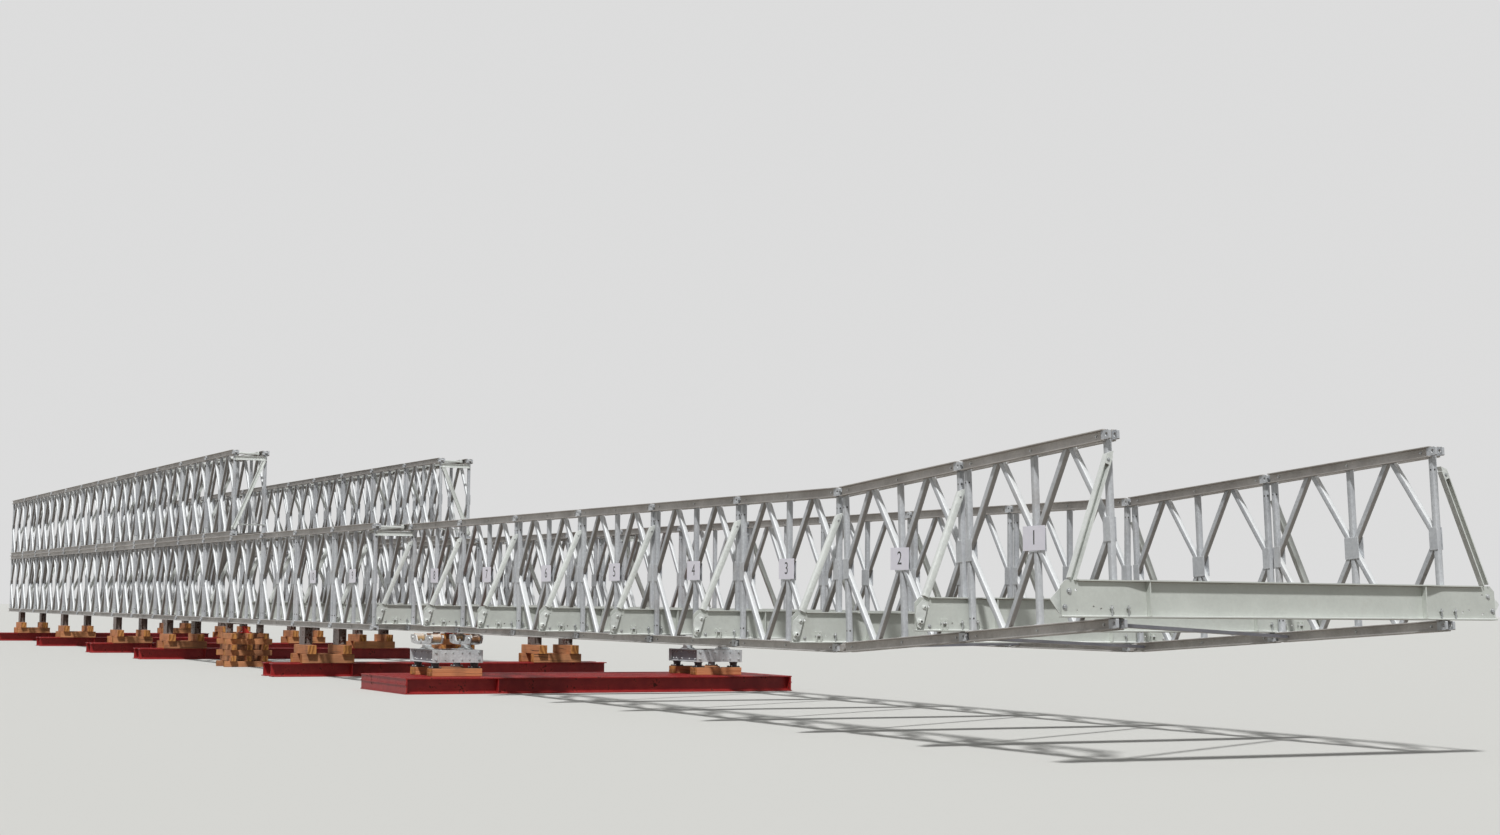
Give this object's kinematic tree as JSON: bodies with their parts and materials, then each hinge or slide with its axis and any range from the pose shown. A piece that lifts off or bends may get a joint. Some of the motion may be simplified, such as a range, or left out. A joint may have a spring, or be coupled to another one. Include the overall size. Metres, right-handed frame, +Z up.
{
  "type": "half-scale modular panel bridge on launching supports",
  "caption": "Galvanised lattice panel bridge, single-truss nose tipped up, double-truss double-storey tail, open transoms, standing on rollers, beams and timber stacks.",
  "frame": {"origin": "on the ground, under the middle of the whole bridge's length and width", "axes": "+X along the bridge towards the nose tip, +Y towards the far girder, +Z up"},
  "size_m": [36.7222, 4, 2.7463],
  "materials": {
    "galvanised_panel_steel": "hot-dip galvanised, dull light grey",
    "galvanised_transom_steel": "hot-dip galvanised, pale grey",
    "galvanised_bracing_steel": "hot-dip galvanised, light grey",
    "galvanised_roller_steel": "hot-dip galvanised, weathered grey",
    "red_oxide_steel": "red-oxide primer, matt",
    "weathered_timber": "rough sawn, orange-brown, weathered",
    "zinc_plated_roller": "yellow passivated zinc, worn",
    "rusted_steel": "rusted brown steel"
  },
  "bodies": {
    "root": {"base_beams": "red_oxide_steel", "far_inner_lower_truss": "galvanised_panel_steel", "far_inner_upper_truss": "galvanised_panel_steel", "far_launching_rollers": "zinc_plated_roller", "far_nose_tip_truss": "galvanised_panel_steel", "far_nose_truss": "galvanised_panel_steel", "far_outer_lower_truss": "galvanised_panel_steel", "far_outer_upper_truss": "galvanised_panel_steel", "far_rakers": "galvanised_bracing_steel", "far_rockers": "galvanised_roller_steel", "far_roller_box": "galvanised_roller_steel", "far_roller_packers": "weathered_timber", "far_saddles": "rusted_steel", "far_timber_stacks": "weathered_timber", "far_top_frames": "galvanised_bracing_steel", "far_upper_braces": "galvanised_bracing_steel", "jacks": "red_oxide_steel", "launching_grillage": "red_oxide_steel", "launching_links": "galvanised_panel_steel", "main_sway_braces": "galvanised_bracing_steel", "main_transoms": "galvanised_transom_steel", "near_inner_lower_truss": "galvanised_panel_steel", "near_inner_upper_truss": "galvanised_panel_steel", "near_launching_rollers": "zinc_plated_roller", "near_nose_tip_truss": "galvanised_panel_steel", "near_nose_truss": "galvanised_panel_steel", "near_outer_lower_truss": "galvanised_panel_steel", "near_outer_upper_truss": "galvanised_panel_steel", "near_rakers": "galvanised_bracing_steel", "near_rockers": "galvanised_roller_steel", "near_roller_box": "galvanised_roller_steel", "near_roller_packers": "weathered_timber", "near_saddles": "rusted_steel", "near_timber_stacks": "weathered_timber", "near_top_frames": "galvanised_bracing_steel", "near_upper_braces": "galvanised_bracing_steel", "nose_sway_braces": "galvanised_bracing_steel", "nose_tip_pin_lugs": "galvanised_panel_steel", "nose_transoms": "galvanised_transom_steel"}
  },
  "joints": []
}
